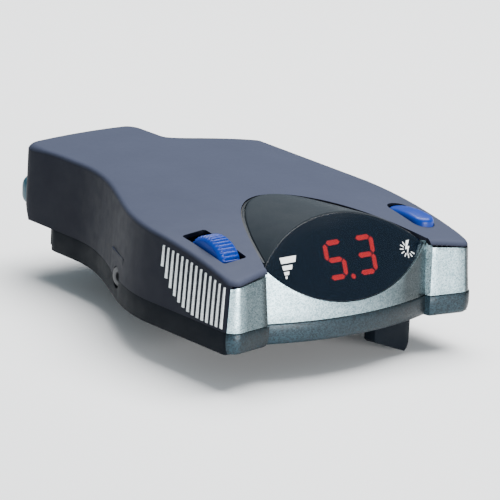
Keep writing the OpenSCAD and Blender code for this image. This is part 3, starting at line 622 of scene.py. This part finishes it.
def make_upper_cover():
    track = case_track()
    rolls = [roll_of(p[1]) for p in track]
    insets = [-(r + lean(dome_z(*p) - r, *p)) for r, p in zip(rolls, track)]
    rim = moved(track, insets)
    rim[0] = (PILLAR + 0.2, rim[0][1])
    rim[-1] = (-PILLAR - 0.2, rim[-1][1])
    back = hood_track(0.8, 44, 0.995)
    lip = [(PILLAR + 0.2, ROOF_CUT + 0.15), (LENS_HALF + 0.6, ROOF_CUT + 0.15)]
    bay = lip + [p for p in back if p[1] > ROOF_CUT + 0.5] + mirrored(lip)
    holes = [slot_track(WHEEL[0], WHEEL[1] + 0.3, 9.6, 23.4, 1.1), slot_track(BOOST[0], BOOST[1], 8.6, 20.6, 4.2, 8)]
    mesh = bmesh.new()
    plate(mesh, tidy(rim + list(reversed(bay))), holes, 4.0)
    for v in mesh.verts:
        x, y, _ = drawn(v.co)
        v.co = at(x, y, dome_z(x, y))

    def full(x, y):
        """The plan point and roll radius that a rim point came from."""
        best = None
        for i in range(len(rim) - 1):
            a, b = Vector(rim[i]), Vector(rim[i + 1])
            t = min(max((Vector((x, y)) - a).dot(b - a) / (b - a).length_squared, 0), 1)
            gap = (a + t * (b - a) - Vector((x, y))).length
            if best is None or gap < best[0]:
                plan = Vector(track[i]).lerp(Vector(track[i + 1]), t)
                best = (gap, plan.x, plan.y, rolls[i] * (1 - t) + rolls[i + 1] * t)
        return best

    found = {}
    outer = []
    for edge in mesh.edges:
        if len(edge.link_faces) == 1:
            spots = [full(*drawn(v.co)[:2]) for v in edge.verts]
            if all(s[0] < 1e-3 for s in spots):
                outer.append(edge)
    for edge in outer:
        for v in edge.verts:
            x, y, z = drawn(v.co)
            found[key(v.co)] = full(x, y)[1:]

    def place(x, y, z, out, drop):
        """A rim point sent out and down, along the line to its place in plan."""
        px, py, r = found[key(at(x, y, z))]
        crease = z - r
        way = Vector((px - x, py - y))
        reach = out - (lean(z - drop, px, py) - lean(crease, px, py))
        share = reach / max(r + lean(crease, px, py), 1e-6)
        return x + way.x * share, y + way.y * share, z - drop

    def roll_row(i):
        def row(x, y, z):
            r = found[key(at(x, y, z))][2]
            turn = math.acos(max(1 - ROOF_ROLL_DROP / r, 0)) * i / 6
            return place(x, y, z, r * math.sin(turn), r * (1 - math.cos(turn)))
        return row

    def skin_row(x, y, z):
        r = found[key(at(x, y, z))][2]
        turn = math.acos(max(1 - ROOF_ROLL_DROP / r, 0))
        return place(x, y, z, r * math.sin(turn), 2.0)

    ends = skirt(mesh, outer, [roll_row(i) for i in range(1, 7)] + [skin_row])
    # the silver front begins under the roof's front edge, and the wall goes on down everywhere else
    def goes_down(v):
        x, y, _ = drawn(v.co)
        behind_pillar = abs(x) < HALF - 4.6 and y < 51.6
        return y > WRAP - 0.25 and not behind_pillar

    walls = [e for e in ends if all(goes_down(v) for v in e.verts)]
    tops = {key(v.co): drawn(v.co) for e in walls for v in e.verts}
    full_out = {}
    for k, (x, y, z) in tops.items():
        best = min(range(len(track) - 1), key=lambda i: detour(track[i], track[i + 1], (x, y)))
        a, b = Vector(track[best]), Vector(track[best + 1])
        t = min(max((Vector((x, y)) - a).dot(b - a) / (b - a).length_squared, 0), 1)
        full_out[k] = a + t * (b - a)

    def wall_row(share):
        def row(x, y, z):
            low = z + (SEAM + 0.12 - z) * share
            plan = full_out[key(at(x, y, z))]
            curl = 1 - math.sqrt(1 - ease((SEAM + 6.5 - low) / 6.5) ** 2 * 0.96)
            back = y + (plan.y - y) * share - 3.2 * curl * ease((plan.y - 144) / 6)
            if y < WRAP + 0.6:
                back = max(back, WRAP)
            return x + (plan.x - x) * share, back, low
        return row

    skirt(mesh, walls, [wall_row(i / 10) for i in range(1, 11)])
    obj = link("upper_cover_shell", mesh)
    modify(obj, "SOLIDIFY", thickness=1.6 * MM, offset=-1, use_even_offset=False)
    settle(obj)
    # flat land for the bracket's ear, standing a little out of the curved wall
    pad = block((left_x(66) - 0.1, 66, SEAM + 0.1), (left_x(66) + 5, 80, SEAM + 8.6))
    for v in pad.verts:
        x, y, z = drawn(v.co)
        near = x < left_x(66) + 1
        v.co = at(left_x(y) - (-0.35 if y < 70 else 0.3) if near else left_x(y) + 1.5, y, z)
    proud = [e for e in pad.edges if all(drawn(v.co)[0] < left_x(drawn(v.co)[1]) for v in e.verts)]
    bmesh.ops.bevel(pad, geom=proud, offset=0.5 * MM, segments=2, profile=0.5, affect="EDGES", material=-1)
    cut_away(obj, pad, "UNION")
    for x in (left_x(BORE_Y), HALF):
        cut_away(obj, rod((x, BORE_Y, SEAM), 3.75, 12, "X"))
    window = bmesh.new()
    ring = slot_track(NECK_MIDDLE, 0, INLET_WIDTH + 0.3, INLET_HEIGHT + 0.3, INLET_CORNER, 6)
    face = window.faces.new([window.verts.new(at(x, DEPTH - 6, INLET_Z + y)) for x, y in ring])
    made = bmesh.ops.extrude_face_region(window, geom=[face])["geom"]
    bmesh.ops.translate(window, vec=(0, 12 * MM, 0), verts=[g for g in made if isinstance(g, bmesh.types.BMVert)])
    bmesh.ops.recalc_face_normals(window, faces=window.faces[:])
    cut_away(obj, window)
    soften(obj, 0.35, 2, 42)
    piece(obj, cover_paint, replaced=["upper_cover"], angle=34)


# ---------------------------------------------------------------- silver front and flake band


def front_rise(x):
    """Top of the silver front over a point of its width."""
    return dome_z(x, 2.2) - 2.0 if abs(x) > FACE_HALF + 0.3 else LENS_Z + 0.9


def make_front_bezel():
    track = front_track()
    mesh = bmesh.new()
    edges = loop(mesh, track, SEAM + 0.12, closed=False)
    steps = {key(at(p[0], p[1], SEAM + 0.12)): n for p, n in zip(track, outward(track))}

    def row(share):
        def send(x, y, z):
            n = steps[key(at(x, y, z))]
            high = z + (front_rise(x) - z) * share
            back = lean(high) + 0.16 * share
            fixed = abs(x) > HALF - 0.6 and y > WRAP - 0.1
            return x - n.x * back, WRAP if fixed else y - n.y * back, high
        return send

    skirt(mesh, edges, [row(i / 6) for i in range(1, 7)])
    bmesh.ops.recalc_face_normals(mesh, faces=mesh.faces[:])
    front = max(mesh.faces, key=lambda f: -f.calc_center_median().y)
    if front.normal.y > 0:
        bmesh.ops.reverse_faces(mesh, faces=mesh.faces[:])
    obj = link("front_bezel_shell", mesh)
    modify(obj, "SOLIDIFY", thickness=2.2 * MM, offset=-1, use_even_offset=True)
    settle(obj)
    cut_away(obj, oval_block(0.3, -16, 34))
    soften(obj, 0.3, 3, 28)
    piece(obj, silver_paint, replaced=["front_bezel"], angle=34)


def make_front_band():
    track = front_track()
    mesh = bmesh.new()
    edges = loop(mesh, track, SEAM - 0.1, closed=False)
    steps = {key(at(p[0], p[1], SEAM - 0.1)): n for p, n in zip(track, outward(track))}
    profile = [(0.0, 0.25), (0.25, 0.4), (3.6, 0.4), (5.6, 0.1), (6.6, -0.35), (7.15, -0.95), (7.4, -1.7)]

    def row(drop, out):
        def send(x, y, z):
            n = steps[key(at(x, y, z))]
            fixed = abs(x) > HALF - 0.6 and y > WRAP - 0.1
            return x + n.x * out, WRAP if fixed else y + n.y * out, z - drop
        return send

    skirt(mesh, edges, [row(*p) for p in profile])
    bmesh.ops.recalc_face_normals(mesh, faces=mesh.faces[:])
    front = max(mesh.faces, key=lambda f: -f.calc_center_median().y)
    if front.normal.y > 0:
        bmesh.ops.reverse_faces(mesh, faces=mesh.faces[:])
    obj = link("front_band_shell", mesh)
    modify(obj, "SOLIDIFY", thickness=1.5 * MM, offset=-1, use_even_offset=True)
    settle(obj)
    soften(obj, 0.25, 2, 40)
    piece(obj, band_paint, replaced=["lower_front_trim"], angle=34)


# ---------------------------------------------------------------- hood and lens


def hood_z(x, y):
    """Top of the hood's bubble, a cylinder that slopes down to the back."""
    level = HOOD_CREST - HOOD_RADIUS / math.cos(HOOD_SLOPE) - (y - HOOD_FRONT_Y) * math.tan(HOOD_SLOPE)
    return level + math.sqrt(max(HOOD_RADIUS**2 - x * x, 0)) / math.cos(HOOD_SLOPE)


def hood_front(x):
    """Depth of the hood's front edge, just behind the lens's plane."""
    y = HOOD_FRONT_Y
    for _ in range(4):
        y = LENS_Y + (hood_z(x, y) - LENS_Z) * math.tan(LENS_LEAN) + 0.1
    return y


def make_display_hood():
    mesh = bmesh.new()
    bmesh.ops.create_grid(mesh, x_segments=56, y_segments=28, size=1)
    inset = 1.3
    widest = 31.2

    def rear(x):
        w = x / (LENS_HALF - inset)
        return LENS_Y - 2 + (HOOD_LENGTH - inset) * (1 - w * w)

    for v in mesh.verts:
        x = widest * math.sin(v.co.x * math.pi / 2)
        share = (v.co.y + 1) / 2
        y = hood_front(x) + (max(rear(x), hood_front(x) + 0.05) - hood_front(x)) * share
        v.co = at(x, y, hood_z(x, y))
    edge_set = [e for e in mesh.edges if e.is_boundary]
    back = [e for e in edge_set if all(drawn(v.co)[1] > hood_front(drawn(v.co)[0]) + 0.04 for v in e.verts)]

    def away(x):
        """Outward direction across the hood's rear edge."""
        w = x / (LENS_HALF - inset)
        slope = -2 * w * (HOOD_LENGTH - inset) / (LENS_HALF - inset)
        return Vector((-slope, 1)).normalized()

    def row(out, low):
        def send(x, y, z):
            n = away(x)
            base = dome_z(x, y)
            return x + n.x * out, max(y + n.y * out, hood_front(x)), low(z, base)
        return send

    rows = [row(0.12, lambda z, base: z - 0.06), row(0.3, lambda z, base: z - 0.22), row(0.42, lambda z, base: z - 0.5)]
    # groove, then the rim that stands in the roof's opening: out, below the hood, over the roof
    for out, below, over in (
        (0.45, 0.6, -0.9), (0.75, 0.6, -0.9), (0.78, 0.45, -0.05), (0.9, 0.42, 0.1), (1.12, 0.42, 0.1),
        (1.28, 0.5, -0.1), (1.3, 0.9, -1.8),
    ):
        rows.append(row(out, lambda z, base, below=below, over=over: min(z - below, base + over)))
    skirt(mesh, back, rows)
    top = max(mesh.faces, key=lambda f: f.calc_center_median().z)
    if top.normal.z < 0:
        bmesh.ops.reverse_faces(mesh, faces=mesh.faces[:])
    obj = link("display_hood_shell", mesh)
    modify(obj, "SOLIDIFY", thickness=1.2 * MM, offset=-1, use_even_offset=False)
    settle(obj)
    piece(obj, hood_paint, replaced=["display_hood"], angle=40)


def make_display_lens():
    mesh = oval_block(0, -2.2, 0)
    front = [f for f in mesh.faces if f.normal.dot(LENS_TURN.to_3x3() @ Vector((0, 0, 1))) > 0.99]
    rim = [e for f in front for e in f.edges]
    bmesh.ops.bevel(mesh, geom=rim, offset=0.18 * MM, segments=3, profile=0.5, affect="EDGES", material=-1)
    obj = link("display_lens_plate", mesh)
    piece(obj, lens_smoke, replaced=["display_lens"], angle=40)


# ---------------------------------------------------------------- wheel, boost button and grips


def make_power_wheel():
    """Barrel-shaped rim with ribs round its middle and a hollow inner side."""
    mesh = bmesh.new()
    half = WHEEL_HALF_WIDTH
    profile = [(-half, 2.7), (-half, 9.0), (-half + 0.25, 9.6), (-half + 0.9, 10.15)]
    profile += [(-half + 1.6, 10.5), (-half + 1.8, 10.55), (-1.6, 10.6), (0, 10.6), (1.6, 10.6)]
    profile += [(half - 1.8, 10.55), (half - 1.6, 10.5), (half - 0.9, 10.15), (half - 0.25, 9.6), (half, 9.0)]
    profile += [(half, 8.2), (half - 2.4, 8.0), (half - 2.4, 5.0), (half, 4.8), (half, 2.7), (-half, 2.7)]
    verts = [mesh.verts.new(at(WHEEL[0] + x, WHEEL[1], WHEEL[2] + r)) for x, r in profile]
    edges = [mesh.edges.new(pair) for pair in zip(verts, verts[1:])]
    steps = 8 * WHEEL_RIBS
    bmesh.ops.spin(
        mesh, geom=verts + edges, cent=at(*WHEEL), axis=(1, 0, 0), dvec=(0, 0, 0),
        angle=2 * math.pi, steps=steps, use_merge=True,
    )
    bmesh.ops.remove_doubles(mesh, verts=mesh.verts[:], dist=1e-6)
    bmesh.ops.recalc_face_normals(mesh, faces=mesh.faces[:])
    for v in mesh.verts:
        x, y, z = drawn(v.co)
        dy, dz = y - WHEEL[1], z - WHEEL[2]
        r = math.hypot(dy, dz)
        if r > 10.45:
            rib = 0.5 + 0.5 * math.cos(WHEEL_RIBS * math.atan2(dz, dy))
            lift = (r + 0.50 * min(1, 1.5 * rib) - 0.26) / r
            v.co = at(x, WHEEL[1] + dy * lift, WHEEL[2] + dz * lift)
    piece(link("power_wheel_rim", mesh), blue_plastic, "wheel", ["power_wheel"], 40)


def make_boost_button():
    """Long domed button with a soft edge, on a flange under the roof."""
    x0, y0, top = BOOST
    mesh = bmesh.new()
    round_edge = 1.7
    inner = (BOOST_WIDTH - 2 * round_edge, BOOST_LENGTH - 2 * round_edge, BOOST_WIDTH / 2 - round_edge - 0.01)
    plate(mesh, slot_track(x0, y0, *inner, 10), (), 1.6)

    def crest(x, y):
        return top - 0.012 * (y - y0) ** 2 - 0.03 * (x - x0) ** 2

    for v in mesh.verts:
        x, y, _ = drawn(v.co)
        v.co = at(x, y, crest(x, y))

    def row(turn, low=None):
        def send(x, y, z):
            cy = min(max(y, y0 - 6), y0 + 6)
            n = Vector((x - x0, y - cy)).normalized()
            out = round_edge * math.sin(math.radians(turn))
            drop = round_edge * (1 - math.cos(math.radians(turn)))
            return x + n.x * out, y + n.y * out, z - drop if low is None else low
        return send

    edges = [e for e in mesh.edges if e.is_boundary]
    rows = [row(t) for t in (15, 30, 45, 60, 75, 90)] + [row(90, top - 8.9), row(90, top - 12.6)]
    edges = skirt(mesh, edges, rows)
    bmesh.ops.holes_fill(mesh, edges=edges, sides=0)
    bmesh.ops.recalc_face_normals(mesh, faces=mesh.faces[:])
    piece(link("boost_button_cap", mesh), blue_plastic, "boost", ["boost_button"], 40)


def make_grips(s, name):
    """Rounded ribs that follow the leaning wall, shorter to the back."""
    mesh = bmesh.new()
    for i in range(GRIP_COUNT):
        y = GRIP_START + GRIP_PITCH * i
        t = i / (GRIP_COUNT - 1)
        low = SEAM + 1.0 + 12.6 * t**4
        high = dome_z(HALF, y) - 2.6
        rib = bmesh.new()
        bmesh.ops.create_cube(rib, size=1)
        for v in rib.verts:
            tall = v.co.z > 0
            z = high if tall else low
            width = 0.42 if tall else 0.62
            x = HALF - lean(z) + (0.5 if v.co.x > 0 else -1.2)
            v.co = at(x * s, y + (width if v.co.y > 0 else -width), z)
        if s < 0:
            bmesh.ops.recalc_face_normals(rib, faces=rib.faces[:])
        outside = {v for v in rib.verts if drawn(v.co)[0] * s > HALF - lean(drawn(v.co)[2])}
        face_edges = [e for e in rib.edges if all(v in outside for v in e.verts)]
        bmesh.ops.bevel(
            rib, geom=face_edges, offset=0.36 * MM, segments=3, profile=0.5, affect="EDGES", material=-1
        )
        made = bpy.data.meshes.new("rib")
        rib.to_mesh(made)
        rib.free()
        mesh.from_mesh(made)
        bpy.data.meshes.remove(made)
    cad_name = "grip_ribs_left" if s < 0 else "grip_ribs_right"
    piece(link(name, mesh), grip_paint, replaced=[cad_name], angle=50)


# ---------------------------------------------------------------- base, lever and inlet


def make_softened(name, cad_name, finish, body="chassis", width=0.4):
    """A copy of a CAD node with small bevels."""
    obj = node_copy(name, cad_name)
    soften(obj, width)
    piece(obj, finish, body, [cad_name])


def make_rear_inlet():
    """Teal socket with a domed outer lip."""
    mesh = bmesh.new()
    # how far each ring stands out from the shell's outline, and how far past the back of the case
    rings = (
        (0.0, -13), (0.0, 1.0), (-0.5, 3.2), (-1.2, 4.4), (-1.9, 4.9), (-2.6, 5.0), (-3.1, 4.7),
        (-3.3, 4.0), (-3.3, -7),
    )
    before = None
    for out, reach in rings:
        width, height = INLET_WIDTH + 2 * out, INLET_HEIGHT + 2 * out * 0.75
        ring = slot_track(NECK_MIDDLE, 0, width, height, max(INLET_CORNER + out, 1.2), 6)
        verts = [mesh.verts.new(at(x, DEPTH + reach, INLET_Z + h)) for x, h in ring]
        edges = [mesh.edges.new((a, b)) for a, b in zip(verts, verts[1:] + verts[:1])]
        if before:
            bmesh.ops.bridge_loops(mesh, edges=before + edges)
        else:
            mesh.faces.new(verts)
        before = edges
    bmesh.ops.holes_fill(mesh, edges=before, sides=0)
    bmesh.ops.recalc_face_normals(mesh, faces=mesh.faces[:])
    piece(link("rear_inlet_shell", mesh), teal_plastic, replaced=["rear_inlet"], angle=40)


make_upper_cover()
make_front_bezel()
make_front_band()
make_display_hood()
make_display_lens()
make_power_wheel()
make_boost_button()
make_grips(-1, "grip_left_bars")
make_grips(1, "grip_right_bars")
make_rear_inlet()
make_softened("lower_case_shell", "lower_case", case_black, width=0.45)
make_softened("manual_lever_tab", "manual_lever", case_black, "lever", 0.45)
make_softened("bushing_left", "mount_bushing_left", sensor_grey, width=0.3)
make_softened("bushing_right", "mount_bushing_right", sensor_grey, width=0.3)
make_softened("case_screw_set", "case_screws", steel, width=0.15)
make_softened("blade_set", "inlet_blades", tinned_brass, width=0.2)

# ---------------------------------------------------------------- camera, floor and lights

AZIMUTH = math.radians(38.48)
ELEVATION = math.radians(16.13)
ROLL = math.radians(2.53)
DISTANCE = 1.914
FOCAL_SHARE = 11.202
SENSOR = 36
SHIFT_SIDE = 0.00772
SHIFT_RISE = -0.00629
AIM = at(0, 70, 18)

right = Vector((math.cos(AZIMUTH), -math.sin(AZIMUTH), 0))
up = Vector((math.sin(AZIMUTH) * math.sin(ELEVATION), math.cos(AZIMUTH) * math.sin(ELEVATION), math.cos(ELEVATION)))
ahead = Vector((math.sin(AZIMUTH) * math.cos(ELEVATION), math.cos(AZIMUTH) * math.cos(ELEVATION), -math.sin(ELEVATION)))
side = math.cos(ROLL) * right + math.sin(ROLL) * up
rise = -math.sin(ROLL) * right + math.cos(ROLL) * up

camera_data = bpy.data.cameras.new("studio_camera")
camera_data.sensor_width = SENSOR
camera_data.lens = FOCAL_SHARE * SENSOR
camera_data.clip_start = 0.05
camera_data.clip_end = 60
camera = bpy.data.objects.new("studio_camera", camera_data)
bpy.context.scene.collection.objects.link(camera)
spot = AIM - DISTANCE * ahead + SHIFT_SIDE * side + SHIFT_RISE * rise
camera.matrix_world = Matrix.Translation(spot) @ Matrix((side, rise, -ahead)).transposed().to_4x4()
bpy.context.scene.camera = camera

floor_finish = material("studio_floor", (0.95, 0.95, 0.95), 0.9, specular=0.1)
mesh = bmesh.new()
bmesh.ops.create_grid(mesh, x_segments=1, y_segments=1, size=15)
floor_data = bpy.data.meshes.new("studio_floor")
mesh.to_mesh(floor_data)
mesh.free()
floor = bpy.data.objects.new("studio_floor", floor_data)
floor.location = (0, 0, -0.001)
floor.data.materials.append(floor_finish)
bpy.context.scene.collection.objects.link(floor)

world = bpy.data.worlds.new("studio")
world.use_nodes = True
world.node_tree.nodes["Background"].inputs["Color"].default_value = (0.76, 0.91, 1.0, 1)
world.node_tree.nodes["Background"].inputs["Strength"].default_value = 0.35
bpy.context.scene.world = world


def lamp(name, place, target, size, power, color=(1, 1, 1)):
    data = bpy.data.lights.new(name, "AREA")
    data.shape = "RECTANGLE"
    data.size, data.size_y = size
    data.energy = power
    data.color = color
    obj = bpy.data.objects.new(name, data)
    obj.location = place
    obj.rotation_euler = (Vector(target) - Vector(place)).to_track_quat("-Z", "Y").to_euler()
    obj.visible_camera = False
    bpy.context.scene.collection.objects.link(obj)


lamp("key_overhead", (0.35, 0.1, 1.2), (0, 0, 0.03), (1.3, 1.1), 50)
lamp("front_soft", (-0.06, -0.95, 0.13), (0, -0.07, 0.015), (0.5, 0.22), 11.5)
